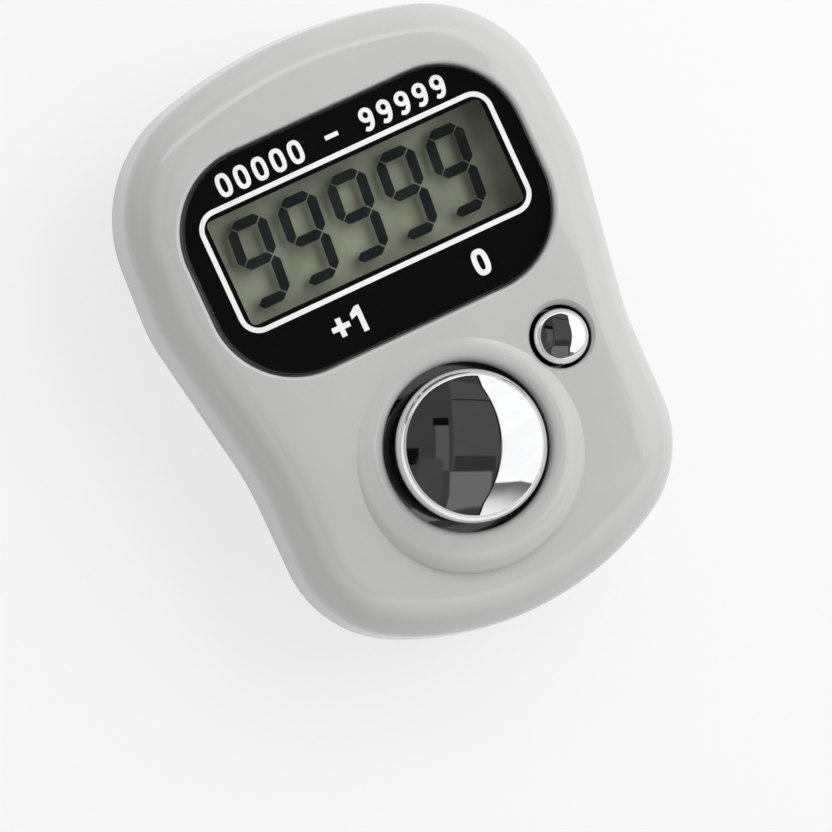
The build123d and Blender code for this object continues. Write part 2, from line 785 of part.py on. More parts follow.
with BuildPart() as reset_button:
    with BuildSketch(Plane.XZ.offset(-reset_y)) as reset_section:
        with BuildLine():
            side_top = (reset_x + reset_radius, reset_side_top)
            crown_edge = (reset_x + reset_crown[0], reset_crown[1])
            apex = (reset_x, reset_crown[1] + reset_dome_rise)
            far_edge = (reset_x - reset_crown[0], reset_crown[1])
            TangentArc(side_top, crown_edge, tangent=(0, 1))
            ThreePointArc(crown_edge, apex, far_edge)
            Polyline(
                far_edge,
                (reset_x - reset_crown[0], stem_bottom),
                (reset_x + reset_stem_radius, stem_bottom),
                (reset_x + reset_stem_radius, flange_bottom),
                (reset_x + reset_flange_radius, flange_bottom),
                (reset_x + reset_flange_radius, flange_top),
                (reset_x + reset_radius, flange_top),
                side_top,
            )
        make_face()
        rims = reset_section.vertices().filter_by_position(
            Axis.X, crown_edge[0] - tiny, crown_edge[0] + tiny
        )
        fillet(rims, reset_edge_radius)
        split(bisect_by=Plane.YZ.offset(reset_x), keep=Keep.TOP)
    revolve(axis=Axis((reset_x, reset_y, 0), (0, 0, 1)))


def dome_section(stem_radius, spread, base_width, contact_top):
    """Half section of a rubber dome: a boss under the stem, a sloping skirt and a base on the board."""
    boss = stem_radius + dome_boss_over
    base_top = board_top + dome_base_height
    inner = boss + spread - dome_skirt
    points = [
        (0, stem_bottom),
        (boss, stem_bottom),
        (boss, contact_top + dome_skirt),
        (boss + spread, base_top),
        (boss + spread + base_width - dome_skirt, base_top),
        (boss + spread + base_width - dome_skirt, board_top),
        (inner, board_top),
        (inner, base_top - dome_skirt),
        (boss - dome_skirt, contact_top),
        (0, contact_top),
    ]
    return half_section(points)


# Rubber domes and the carbon contacts under them
count_contact_bottom = board_top + pad_thickness + contact_gap + count_travel
count_contact_top = count_contact_bottom + contact_thickness
reset_contact_bottom = board_top + pad_thickness + contact_gap + reset_travel
reset_contact_top = reset_contact_bottom + contact_thickness

with BuildPart() as count_dome:
    with BuildSketch(Plane.XZ.offset(-count_y)):
        with Locations((count_x, 0)):
            add(dome_section(count_stem_radius, dome_spread, dome_base_width, count_contact_top))
    revolve(axis=Axis((count_x, count_y, 0), (0, 0, 1)))

with BuildPart() as reset_dome:
    with BuildSketch(Plane.XZ.offset(-reset_y)):
        with Locations((reset_x, 0)):
            add(dome_section(reset_stem_radius, reset_dome_spread, reset_dome_base_width, reset_contact_top))
    revolve(axis=Axis((reset_x, reset_y, 0), (0, 0, 1)))

with BuildPart() as count_contact:
    with BuildSketch(Plane.XY.offset(count_contact_bottom)):
        with Locations((count_x, count_y)):
            Circle(count_contact_radius)
    extrude(amount=contact_thickness)

with BuildPart() as reset_contact:
    with BuildSketch(Plane.XY.offset(reset_contact_bottom)):
        with Locations((reset_x, reset_y)):
            Circle(reset_contact_radius)
    extrude(amount=contact_thickness)

# Button cell, cap side up, and the two contact strips soldered under the board
with BuildPart() as button_cell:
    with BuildSketch(Plane.XY.offset(battery_bottom)):
        with Locations((0, battery_y)):
            Circle(battery_radius)
    extrude(amount=battery_thickness - battery_cap_height)
    fillet(button_cell.edges().filter_by(GeomType.CIRCLE), battery_edge_radius)
    with BuildSketch(Plane.XY.offset(battery_top - battery_cap_height)):
        with Locations((0, battery_y)):
            Circle(battery_radius - battery_cap_inset)
    extrude(amount=battery_cap_height)
    fillet(button_cell.faces().sort_by(Axis.Z)[-1].edges(), battery_edge_radius)

with BuildPart() as positive_contact:
    leaf_y = battery_y - battery_radius - leaf_gap
    with BuildSketch(Plane.YZ):
        with BuildLine():
            Polyline(
                (leaf_y, positive_tip_height),
                (leaf_y, board_bottom),
                (leaf_y - positive_foot, board_bottom),
                (leaf_y - positive_foot, board_bottom - contact_strip),
                (leaf_y - contact_strip, board_bottom - contact_strip),
                (leaf_y - contact_strip, positive_tip_height),
                close=True,
            )
        make_face()
    extrude(amount=positive_width / 2, both=True)

with BuildPart() as negative_contact:
    strip_middle = board_bottom - contact_strip / 2
    touch_height = battery_top + leaf_gap + contact_strip / 2
    with BuildSketch(Plane.YZ):
        with BuildLine():
            Polyline(
                (battery_y + negative_foot_end, strip_middle),
                (battery_y + negative_foot_start, strip_middle),
                (battery_y + negative_touch, touch_height),
                (battery_y + negative_tip, touch_height + negative_tip_lift),
            )
        trace(line_width=contact_strip)
    extrude(amount=negative_width / 2, both=True)

# Battery door: disc with a coin slot, a neck round the cell and two lugs that turn under the ledge
with BuildPart() as battery_door:
    with BuildSketch(Plane.XY.offset(door_setback)):
        with Locations((0, battery_y)):
            Circle(door_radius)
    extrude(amount=door_thickness)
    chamfer(battery_door.edges().sort_by(Axis.Z)[0], door_edge_chamfer)
    with BuildSketch(Plane.XY.offset(door_inside)):
        with Locations((0, battery_y)):
            Circle(neck_radius)
            Circle(neck_radius - neck_wall, mode=Mode.SUBTRACT)
    extrude(amount=lug_top - door_inside)
    with BuildSketch(Plane.XY.offset(lug_bottom)):
        with Locations((0, battery_y)):
            for lug_angle in (0, 180):
                SlotArc(
                    Edge.make_circle(
                        lug_radius - (lug_reach + neck_wall / 2) / 2,
                        start_angle=lug_angle - lug_sweep / 2,
                        end_angle=lug_angle + lug_sweep / 2,
                    ),
                    lug_reach + neck_wall / 2,
                )
    extrude(amount=lug_thickness)
    with BuildSketch(Plane.XY.offset(door_setback)):
        with Locations((0, battery_y)):
            SlotOverall(coin_slot_length, coin_slot_width)
    extrude(amount=coin_slot_depth, mode=Mode.SUBTRACT)

# Three case screws, from the back through both posts
with BuildPart() as case_screws:
    head_bottom = screw_seat_height - screw_head_height
    with BuildSketch(Plane.XY.offset(head_bottom)):
        with Locations(*screw_places):
            Circle(screw_head_radius)
    extrude(amount=screw_head_height)
    chamfer(case_screws.edges().group_by(Axis.Z)[0], screw_edge_chamfer)
    with BuildSketch(Plane.XY.offset(screw_seat_height)):
        with Locations(*screw_places):
            Circle(screw_radius)
    extrude(amount=screw_tip_height - screw_seat_height)
    with BuildSketch(Plane.XY.offset(head_bottom)):
        with Locations(*screw_places):
            Rectangle(cross_length, cross_width)
            Rectangle(cross_width, cross_length)
    extrude(amount=cross_depth, mode=Mode.SUBTRACT)

pieces = {
    "front_shell": front_shell,
    "rear_shell": rear_shell,
    "display_lens": display_lens,
    "lens_print": lens_print,
    "white_line": white_line,
    "lens_tape": lens_tape,
    "front_polariser": front_polariser,
    "front_glass": front_glass,
    "display_seal": display_seal,
    "digits": digits,
    "rear_glass": rear_glass,
    "reflector": reflector,
    "display_holder": display_holder,
    "connector_strip": connector_strip,
    "circuit_board": circuit_board,
    "contact_pads": contact_pads,
    "chip_blob": chip_blob,
    "chip_resistor": chip_resistor,
    "chip_capacitor": chip_capacitor,
    "count_button": count_button,
    "count_dome": count_dome,
    "count_contact": count_contact,
    "reset_button": reset_button,
    "reset_dome": reset_dome,
    "reset_contact": reset_contact,
    "button_cell": button_cell,
    "positive_contact": positive_contact,
    "negative_contact": negative_contact,
    "battery_door": battery_door,
    "case_screws": case_screws,
}

os.makedirs("parts", exist_ok=True)
for name, piece in pieces.items():
    piece.part.label = name
    export_step(piece.part, f"parts/{name}.step")
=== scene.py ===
"""Looks of the tally counter: finishes, rubber domes, printed numbers, light and camera."""

import math

import bpy
import numpy as np
from mathutils import Matrix, Vector


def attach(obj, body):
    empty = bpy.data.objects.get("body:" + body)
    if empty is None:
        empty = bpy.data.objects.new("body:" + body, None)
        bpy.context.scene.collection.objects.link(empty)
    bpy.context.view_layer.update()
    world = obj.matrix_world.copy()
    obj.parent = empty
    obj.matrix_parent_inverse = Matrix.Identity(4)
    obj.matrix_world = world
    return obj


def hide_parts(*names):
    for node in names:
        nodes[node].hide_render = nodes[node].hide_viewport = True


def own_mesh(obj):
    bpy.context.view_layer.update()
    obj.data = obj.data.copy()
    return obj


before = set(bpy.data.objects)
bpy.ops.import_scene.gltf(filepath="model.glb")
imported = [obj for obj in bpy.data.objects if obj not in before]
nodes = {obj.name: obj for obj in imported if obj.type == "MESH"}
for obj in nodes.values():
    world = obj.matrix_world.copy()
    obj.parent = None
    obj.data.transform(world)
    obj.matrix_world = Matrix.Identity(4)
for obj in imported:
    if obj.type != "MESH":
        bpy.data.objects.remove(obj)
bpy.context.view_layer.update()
scene = bpy.context.scene
scene.view_settings.view_transform = "Standard"
scene.cycles.transparent_max_bounces = 32  # the display's clear layers are many

# Places on the counter, in millimetres
MM = 0.001
PARTING = 6.3
COUNT = (-0.5, -8.45)
RESET = (8.0, -4.65)
CELL = (0.0, 4.6)
RESISTOR_X, CAPACITOR_X = -5.2, 5.2
CHIP_HALF = 0.8
BOARD_TOP = 5.6
LENS_BACK = 10.8

WHITE = (1.0, 1.0, 1.0, 1.0)


class NodeTree:
    """One node tree, and short ways to add and join nodes in it."""

    def __init__(self, tree):
        self.tree = tree

    def add(self, kind, inputs=None, **settings):
        """A new node with its settings, and its inputs set or linked."""
        made = self.tree.nodes.new(kind)
        for key, value in settings.items():
            setattr(made, key, value)
        for key, value in (inputs or {}).items():
            self.put(made.inputs[key], value)
        return made

    def put(self, socket, value):
        """Links an output to a socket, or sets the socket's own value."""
        if isinstance(value, bpy.types.NodeSocket):
            self.tree.links.new(value, socket)
        else:
            socket.default_value = value

    def math(self, operation, *values):
        """One arithmetic step on values that vary from place to place."""
        return self.add("ShaderNodeMath", dict(enumerate(values)), operation=operation).outputs["Value"]

    def span(self, value, low, high, start=0.35, end=0.65):
        """A number that goes smoothly from low to high as value goes from start to end."""
        inputs = {"Value": value, "From Min": start, "From Max": end, "To Min": low, "To Max": high}
        return self.add("ShaderNodeMapRange", inputs, interpolation_type="SMOOTHSTEP").outputs["Result"]

    def blend(self, factor, one, two):
        """A number that goes from one to two with the factor."""
        return self.add("ShaderNodeMix", {0: factor, 2: one, 3: two}, data_type="FLOAT").outputs[0]


class Finish(NodeTree):
    """One procedural material: its main shader, and patterns set out in millimetres on the piece."""

    def __init__(self, name):
        self.material = bpy.data.materials.new(name)
        self.material.use_nodes = True
        super().__init__(self.material.node_tree)
        self.shader = self.tree.nodes["Principled BSDF"]
        self.place = self.add("ShaderNodeTexCoord").outputs["Object"]

    def set(self, **values):
        """Sets or links the main shader's sockets; a name's underscores stand for spaces."""
        for key, value in values.items():
            self.put(self.shader.inputs[key.replace("_", " ")], value)

    def surface(self, shader):
        """Makes a shader the one that shows."""
        self.tree.links.new(shader.outputs[0], self.tree.nodes["Material Output"].inputs["Surface"])

    def noise(self, size, detail=2.0, stretch=(1, 1, 1), turn=0.0):
        """Soft mottling with patches about size millimetres across, stretched and turned about Z."""
        scale = [1 / (size * MM * s) for s in stretch]
        mapping = {"Vector": self.place, "Rotation": (0, 0, turn), "Scale": scale}
        place = self.add("ShaderNodeMapping", mapping).outputs["Vector"]
        texture = {"Vector": place, "Scale": 1.0, "Detail": detail}
        return self.add("ShaderNodeTexNoise", texture).outputs["Fac"]

    def tint(self, factor, one, two):
        """A colour that goes from one to two with the factor."""
        inputs = {0: factor, 6: self.colour(one), 7: self.colour(two)}
        return self.add("ShaderNodeMix", inputs, data_type="RGBA").outputs[2]

    def mottle(self, pattern, one, two):
        """A colour that goes from one to two over the middle of a pattern."""
        return self.tint(self.span(pattern, 0.0, 1.0), one, two)

    def colour(self, value):
        """A socket as it is, or three numbers as an opaque colour."""
        return value if isinstance(value, bpy.types.NodeSocket) else (*value, 1.0)

    def bump(self, height, depth, below=None):
        """A surface normal from a height that is depth millimetres at one, over the bumps below."""
        inputs = {"Height": height, "Distance": depth * MM, "Strength": 1.0}
        if below is not None:
            inputs["Normal"] = below
        return self.add("ShaderNodeBump", inputs).outputs["Normal"]

    def axis(self, name):
        """One coordinate of the place on the piece, in millimetres."""
        split = self.add("ShaderNodeSeparateXYZ", {"Vector": self.place}).outputs[name]
        return self.math("DIVIDE", split, MM)

    def reach(self, centre):
        """Distance in millimetres from an upright axis through the centre."""
        across = self.math("SUBTRACT", self.axis("X"), centre[0])
        along = self.math("SUBTRACT", self.axis("Y"), centre[1])
        squares = [self.math("MULTIPLY", off, off) for off in (across, along)]
        return self.math("SQRT", self.math("ADD", *squares))

    def ring(self, distance, middle, half_width):
        """One on a ring at that distance, falling to nothing at half_width from it."""
        off = self.math("ABSOLUTE", self.math("SUBTRACT", distance, middle))
        return self.span(off, 1.0, 0.0, 0.0, half_width)

    def waves(self, distance, rate):
        """Even waves along a distance, rate radians to the millimetre."""
        return self.math("SINE", self.math("MULTIPLY", distance, rate))

    def clear(self, tint):
        """Lets light through to what lies under: the shader for the eye, plain transparency for shadows."""
        light_path = self.add("ShaderNodeLightPath").outputs
        from_below = self.math("MAXIMUM", light_path["Is Shadow Ray"], light_path["Is Diffuse Ray"])
        open_way = self.add("ShaderNodeBsdfTransparent", {"Color": self.colour(tint)}).outputs[0]
        inputs = {0: from_below, 1: self.shader.outputs[0], 2: open_way}
        self.surface(self.add("ShaderNodeMixShader", inputs))


# The buttons' guide holes, with painted shade down their walls: each one's centre, radius and rim height
GUIDES = ((COUNT, 5.4, 11.3), (RESET, 2.04, 11.4))
GUIDE_WALL = (0.04, 0.12)  # the painted shade ends between these distances beyond the radius
GUIDE_RIM = (-0.3, 0.2)  # and between these heights from the rim
GUIDE_FOOT = (7.6, 8.2)  # and starts between these heights
GUIDE_PAINTED_SHADE = (0.010, 0.010, 0.010)
GUIDE_ROUGH = 0.75
SPECK_GREY = (0.36, 0.36, 0.35)
SEAM_GREY = (0.25, 0.24, 0.22)
SEAM_HALF = 0.28
SEAM_SHARE = 0.22


def shell_plastic(name, pale, deep, gloss, dull, grain_depth):
    """Moulded shell: flow marks, specks, a darker seam band, painted shade in the guide holes, smudges,
    ripple and fine grain.
    """
    look = Finish(name)
    flow = look.noise(size=7.0, detail=3.0, stretch=(1, 1.6, 1), turn=0.4)
    speck = look.noise(size=0.22, detail=1.0)
    # a darker band along the parting seam, around its height
    seam = look.ring(look.axis("Z"), PARTING, SEAM_HALF)
    body = look.mottle(flow, deep, pale)
    body = look.tint(look.span(speck, low=0.0, high=0.05, start=0.62, end=0.75), body, SPECK_GREY)
    body = look.tint(look.math("MULTIPLY", seam, SEAM_SHARE), body, SEAM_GREY)
    smudge = look.noise(size=4.2, detail=4.0, stretch=(1.5, 1, 1), turn=0.9)
    rough = look.span(smudge, gloss, dull)
    # painted shade: each guide hole's walls are darkened as if the gap round the button lay in shadow
    for centre, radius, rim in GUIDES:
        inside = look.span(look.reach(centre), 1.0, 0.0, *[radius + past for past in GUIDE_WALL])
        below_rim = look.span(look.axis("Z"), 1.0, 0.0, *[rim + past for past in GUIDE_RIM])
        above_foot = look.span(look.axis("Z"), 0.0, 1.0, *GUIDE_FOOT)
        painted_shade = look.math("MULTIPLY", look.math("MULTIPLY", inside, below_rim), above_foot)
        body = look.tint(painted_shade, body, GUIDE_PAINTED_SHADE)
        rough = look.math("MAXIMUM", rough, look.math("MULTIPLY", painted_shade, GUIDE_ROUGH))
    ripple = look.bump(look.noise(size=2.6, detail=1.0), depth=0.0016)
    grain = look.bump(look.noise(size=0.12, detail=1.0), grain_depth, ripple)
    look.set(Base_Color=body, Roughness=rough, Normal=grain, IOR=1.51, Specular_IOR_Level=0.8)
    return look.material


def moulded(name, one, two, patch, gloss, dull, grain, grain_depth, shine=0.5):
    """Plain moulded or printed finish: two close colours in soft patches, uneven gloss and a fine grain."""
    look = Finish(name)
    smudge_share = 0.4
    body = look.mottle(look.noise(patch, detail=3.0), one, two)
    rough = look.span(look.noise(patch * smudge_share, detail=3.0), gloss, dull)
    look.set(Base_Color=body, Roughness=rough, Normal=look.bump(look.noise(grain), grain_depth))
    look.set(IOR=1.5, Specular_IOR_Level=shine)
    return look.material


def clear_sheet(name, tint, gloss, dull, ior, patch):
    """Clear plate: polished, with a haze of fine rubs that dulls it in streaks, and a slight waviness."""
    look = Finish(name)
    wave_share = 3
    rubs = look.noise(patch, detail=3.0, stretch=(0.12, 2.5, 1), turn=0.6)
    rough = look.span(rubs, gloss, dull, start=0.5, end=0.8)
    wave = look.bump(look.noise(patch * wave_share, detail=1.0), depth=0.0004)
    look.set(Base_Color=look.colour(tint), Roughness=rough, Transmission_Weight=1.0, IOR=ior, Normal=wave)
    look.clear(tint)
    return look.material


def film(name, tint, gloss, ior):
    """Thin film or glass that only tints: plain transparency, with a faint outer gloss at a slant."""
    look = Finish(name)
    deep_share = 0.96
    body = look.mottle(look.noise(size=2.5), tint, [c * deep_share for c in tint])
    open_way = look.add("ShaderNodeBsdfTransparent", {"Color": body}).outputs[0]
    shine = look.add("ShaderNodeBsdfGlossy", {"Roughness": gloss}).outputs[0]
    fresnel = look.add("ShaderNodeFresnel", {"IOR": ior}).outputs[0]
    outer = look.math("SUBTRACT", 1.0, look.add("ShaderNodeNewGeometry").outputs["Backfacing"])
    glint = look.math("MULTIPLY", fresnel, outer)
    look.surface(look.add("ShaderNodeMixShader", {0: glint, 1: open_way, 2: shine}))
    look.tree.nodes.remove(look.shader)
    return look.material


def plating(name, pale, deep, gloss, dull):
    """Mirror plating: clean bright metal with faint smears and a hint of waviness."""
    look = Finish(name)
    smear = look.noise(size=1.9, detail=4.0, stretch=(1.8, 0.7, 1), turn=0.5)
    rough = look.span(smear, gloss, dull, start=0.45, end=0.75)
    wave = look.bump(look.noise(size=1.6, detail=0.0), depth=0.0005)
    look.set(Base_Color=look.mottle(smear, pale, deep), Metallic=1.0, Roughness=rough, Normal=wave)
    return look.material


def brushed(name, pale, deep, gloss, dull, stretch):
    """Rolled or plated metal: fine dark lines along the work and patches of handling."""
    look = Finish(name)
    line_share = 0.55
    lines = look.noise(size=0.09, detail=3.0, stretch=stretch)
    patch = look.noise(size=2.4, detail=3.0)
    scored = look.span(lines, low=0.0, high=0.25, start=0.5, end=0.8)
    body = look.tint(scored, look.mottle(patch, pale, deep), [c * line_share for c in deep])
    rough = look.span(patch, gloss, dull)
    look.set(Base_Color=body, Metallic=1.0, Roughness=rough, Normal=look.bump(lines, depth=0.0012))
    return look.material


def turned(name, pale, deep, centre, gloss, dull):
    """Drawn steel can: fine rings round its axis, and stains."""
    look = Finish(name)
    rings = look.bump(look.waves(look.reach(centre), rate=42.0), depth=0.0006)
    stain = look.noise(size=1.7, detail=4.0)
    rough = look.span(stain, gloss, dull)
    look.set(Base_Color=look.mottle(stain, pale, deep), Metallic=1.0, Roughness=rough, Normal=rings)
    return look.material


def laminate(name, mask, trace_mask, weave_mask, gloss, dull):
    """Board: coloured mask over a fine glass weave, with broad winding traces that show paler."""
    look = Finish(name)
    weave_rate, lane_rate, lane_swing = 18.0, 3.1, 9.0
    threads = [look.waves(look.axis(letter), weave_rate) for letter in ("X", "Y")]
    weave = look.math("MULTIPLY", *threads)
    bends = look.noise(size=5.5, detail=1.0, turn=0.3)
    swung = look.math("ADD", look.axis("X"), look.math("MULTIPLY", bends, lane_swing))
    lanes = look.waves(swung, lane_rate)
    trace = look.span(lanes, low=0.0, high=1.0, start=0.45, end=0.6)
    body = look.tint(trace, mask, trace_mask)
    body = look.tint(look.span(weave, low=0.0, high=0.3, start=-1.0, end=1.0), body, weave_mask)
    woven = look.bump(weave, depth=0.002, below=look.bump(trace, depth=0.02))
    look.set(Base_Color=body, Roughness=look.span(bends, gloss, dull), Normal=woven, IOR=1.52)
    return look.material


def striped_rubber(name, pink, carbon, gloss, dull):
    """Contact strip: thin carbon layers between pink rubber layers, side by side along the strip."""
    look = Finish(name)
    layers = look.waves(look.axis("X"), rate=40.0)
    body = look.tint(look.span(layers, low=0.0, high=1.0, start=-0.2, end=0.2), pink, carbon)
    rough = look.span(look.noise(size=0.6), gloss, dull)
    look.set(Base_Color=body, Roughness=rough, Normal=look.bump(layers, depth=0.004), IOR=1.43)
    return look.material


def rear_film(name, one, two, grain_tone, gloss, dull):
    """Rear film of the display: finely grained along one way, a little lighter in patches."""
    look = Finish(name)
    grain = look.noise(size=0.10, stretch=(6, 0.6, 1))
    body = look.mottle(look.noise(size=6.0), one, two)
    body = look.tint(look.span(grain, low=0.0, high=0.22), body, grain_tone)
    rough = look.span(grain, gloss, dull)
    look.set(Base_Color=body, Roughness=rough, Normal=look.bump(grain, depth=0.001), IOR=1.45)
    return look.material


def segment_ink(name, one, two, gloss, dull):
    """Display segments: two dark tones in soft patches, with little gloss between the two glasses."""
    look = Finish(name)
    bloom = look.noise(size=2.2)
    uneven = look.bump(look.noise(size=0.15), depth=0.0008)
    body = look.mottle(bloom, one, two)
    rough = look.span(bloom, gloss, dull)
    look.set(Base_Color=body, Roughness=rough, Normal=uneven, IOR=1.4, Specular_IOR_Level=0.04)
    return look.material


def chip_body(name, core, cap, middle, half_length, gloss, dull):
    """Chip part: a coloured body between two tinned ends, with a sharp change at each end."""
    look = Finish(name)
    end_shares = (0.60, 0.66)
    shade_share = 0.75
    off = look.math("ABSOLUTE", look.math("SUBTRACT", look.axis("X"), middle))
    end = look.span(off, 0.0, 1.0, *[half_length * share for share in end_shares])
    grain = look.noise(size=0.25, detail=3.0)
    body = look.tint(end, look.mottle(grain, core, [c * shade_share for c in core]), cap)
    rough = look.span(grain, gloss, dull)
    look.set(Base_Color=body, Metallic=end, Roughness=rough, Normal=look.bump(grain, depth=0.006))
    return look.material


def silicone(name, one, two, gloss, dull):
    """Rubber of the domes: milky, with a faint powdery bloom and a fine grain."""
    look = Finish(name)
    bloom = look.noise(size=0.8, detail=3.0)
    grain = look.bump(look.noise(size=0.18), depth=0.003)
    rough = look.span(bloom, gloss, dull)
    look.set(Base_Color=look.mottle(bloom, one, two), Roughness=rough, Normal=grain, IOR=1.41)
    return look.material


def dress(material, *names):
    """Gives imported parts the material."""
    for name in names:
        data = nodes[name].data
        data.materials.clear()
        data.materials.append(material)


# Case
front_gloss = shell_plastic(
    "front_gloss", pale=(0.553, 0.553, 0.545), deep=(0.531, 0.531, 0.522),
    gloss=0.07, dull=0.14, grain_depth=0.0003,
)
rear_satin = shell_plastic(
    "rear_satin", pale=(0.545, 0.545, 0.536), deep=(0.523, 0.523, 0.514),
    gloss=0.30, dull=0.40, grain_depth=0.0022,
)
door_satin = shell_plastic(
    "door_satin", pale=(0.530, 0.530, 0.521), deep=(0.507, 0.507, 0.498),
    gloss=0.32, dull=0.42, grain_depth=0.0025,
)
screw_plated = brushed(
    "screw_plated", pale=(0.56, 0.56, 0.55), deep=(0.44, 0.44, 0.43),
    gloss=0.24, dull=0.38, stretch=(4, 4, 1),
)
dress(front_gloss, "front_shell")
dress(rear_satin, "rear_shell")
dress(door_satin, "battery_door")
dress(screw_plated, "case_screws")

# Lens and its print
lens_clear = clear_sheet("lens_clear", tint=(0.99, 0.99, 0.99), gloss=0.0, dull=0.03, ior=1.49, patch=3.0)
lens_black = moulded(
    "lens_black", one=(0.0020, 0.0020, 0.0021), two=(0.0024, 0.0024, 0.0025),
    patch=6.0, gloss=0.5, dull=0.6, grain=0.08, grain_depth=0.0003, shine=0.0,
)
white_print = moulded(
    "white_print", one=(0.94, 0.94, 0.935), two=(0.90, 0.90, 0.895),
    patch=0.7, gloss=0.4, dull=0.55, grain=0.06, grain_depth=0.001, shine=0.0,
)
tape_black = moulded(
    "tape_black", one=(0.010, 0.010, 0.011), two=(0.018, 0.018, 0.019),
    patch=1.2, gloss=0.6, dull=0.8, grain=0.1, grain_depth=0.004,
)
dress(lens_clear, "display_lens")
dress(lens_black, "lens_print")
dress(white_print, "white_line")
dress(tape_black, "lens_tape")

# Display
polariser_film = film("polariser_film", tint=(0.935, 0.94, 0.915), gloss=0.12, ior=1.15)
display_glass = film("display_glass_clear", tint=(0.985, 0.99, 0.985), gloss=0.02, ior=1.08)
seal_grey = moulded(
    "seal_grey", one=(0.22, 0.23, 0.20), two=(0.27, 0.28, 0.25),
    patch=0.8, gloss=0.45, dull=0.6, grain=0.12, grain_depth=0.002,
)
segment_dark = segment_ink(
    "segment_dark", one=(0.012, 0.016, 0.021), two=(0.020, 0.027, 0.026), gloss=0.45, dull=0.6
)
display_ground = rear_film(
    "display_ground", one=(0.470, 0.478, 0.400), two=(0.508, 0.516, 0.438),
    grain_tone=(0.39, 0.397, 0.335), gloss=0.5, dull=0.62,
)
holder_white = moulded(
    "holder_white", one=(0.66, 0.66, 0.63), two=(0.60, 0.60, 0.57),
    patch=3.0, gloss=0.38, dull=0.5, grain=0.12, grain_depth=0.002,
)
zebra_rubber = striped_rubber(
    "zebra_rubber", pink=(0.50, 0.16, 0.21), carbon=(0.02, 0.02, 0.022), gloss=0.55, dull=0.75
)
dress(polariser_film, "front_polariser")
dress(display_glass, "front_glass", "rear_glass")
dress(seal_grey, "display_seal")
dress(segment_dark, "digits")
dress(display_ground, "reflector")
dress(holder_white, "display_holder")
dress(zebra_rubber, "connector_strip")

# Board and what is on it
TINNED = (0.62, 0.62, 0.60)
board_green = laminate(
    "board_green", mask=(0.012, 0.095, 0.034), trace_mask=(0.03, 0.17, 0.062),
    weave_mask=(0.02, 0.12, 0.05), gloss=0.28, dull=0.42,
)
pad_gold = brushed(
    "pad_gold", pale=(0.78, 0.57, 0.24), deep=(0.68, 0.47, 0.18),
    gloss=0.2, dull=0.34, stretch=(5, 1, 1),
)
blob_black = moulded(
    "blob_black", one=(0.008, 0.008, 0.009), two=(0.016, 0.015, 0.015),
    patch=1.6, gloss=0.16, dull=0.3, grain=0.4, grain_depth=0.006,
)
resistor_black = chip_body(
    "resistor_black", core=(0.012, 0.012, 0.014), cap=TINNED,
    middle=RESISTOR_X, half_length=CHIP_HALF, gloss=0.32, dull=0.5,
)
capacitor_tan = chip_body(
    "capacitor_tan", core=(0.36, 0.22, 0.11), cap=TINNED,
    middle=CAPACITOR_X, half_length=CHIP_HALF, gloss=0.32, dull=0.5,
)
dress(board_green, "circuit_board")
dress(pad_gold, "contact_pads")
dress(blob_black, "chip_blob")
dress(resistor_black, "chip_resistor")
dress(capacitor_tan, "chip_capacitor")

# Buttons
PLATING_PALE = (0.90, 0.905, 0.91)
PLATING_DEEP = (0.86, 0.865, 0.87)
count_plating = plating("count_plating", PLATING_PALE, PLATING_DEEP, gloss=0.015, dull=0.05)
reset_plating = plating("reset_plating", PLATING_PALE, PLATING_DEEP, gloss=0.02, dull=0.06)
carbon_pill = moulded(
    "carbon_pill", one=(0.010, 0.010, 0.010), two=(0.022, 0.022, 0.022),
    patch=0.5, gloss=0.6, dull=0.8, grain=0.08, grain_depth=0.004,
)
dress(count_plating, "count_button")
dress(reset_plating, "reset_button")
dress(carbon_pill, "count_contact", "reset_contact")

# Cell and its contacts
cell_can = turned(
    "cell_can", pale=(0.72, 0.72, 0.70), deep=(0.60, 0.60, 0.58), centre=CELL, gloss=0.22, dull=0.36
)
contact_spring = brushed(
    "contact_spring", pale=(0.70, 0.69, 0.66), deep=(0.60, 0.59, 0.56),
    gloss=0.24, dull=0.38, stretch=(1, 8, 1),
)
dress(cell_can, "button_cell")
dress(contact_spring, "positive_contact", "negative_contact")


def put_mesh(name, points, faces, body, material, smooth):
    """A new piece from whole arrays of points (millimetres) and faces, riding on a body."""
    data = bpy.data.meshes.new(name)
    data.from_pydata((np.asarray(points) * MM).tolist(), [], faces)
    data.polygons.foreach_set("use_smooth", np.full(len(data.polygons), smooth))
    data.materials.append(material)
    data.validate()
    data.update()
    piece = bpy.data.objects.new(name, data)
    scene.collection.objects.link(piece)
    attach(piece, body)
    return piece


def grid_faces(rows, columns):
    """Four-cornered faces of a grid that closes on itself both ways."""
    row, column = np.meshgrid(np.arange(rows), np.arange(columns), indexing="ij")
    down, across = (row + 1) % rows, (column + 1) % columns
    corners = ((row, column), (down, column), (down, across), (row, across))
    return np.stack([r * columns + c for r, c in corners], -1).reshape(-1, len(corners)).tolist()


# Rubber domes under the buttons: sizes that both share, in millimetres
FLANGE_TOP = 6.2
BORE_TOP = 5.85
BOSS_TOP = 7.9
POLE = 0.02  # radius of the pin hole left along the axis
DOME_ROUNDING = 0.22
DOME_CORNER_STEPS = 6
DOME_TURNS = 96
CORNER_SHARE = 0.45  # the most that a rounding takes of the sides at its corner
rubber = silicone("milky_silicone", one=(0.56, 0.56, 0.53), two=(0.64, 0.64, 0.61), gloss=0.48, dull=0.66)


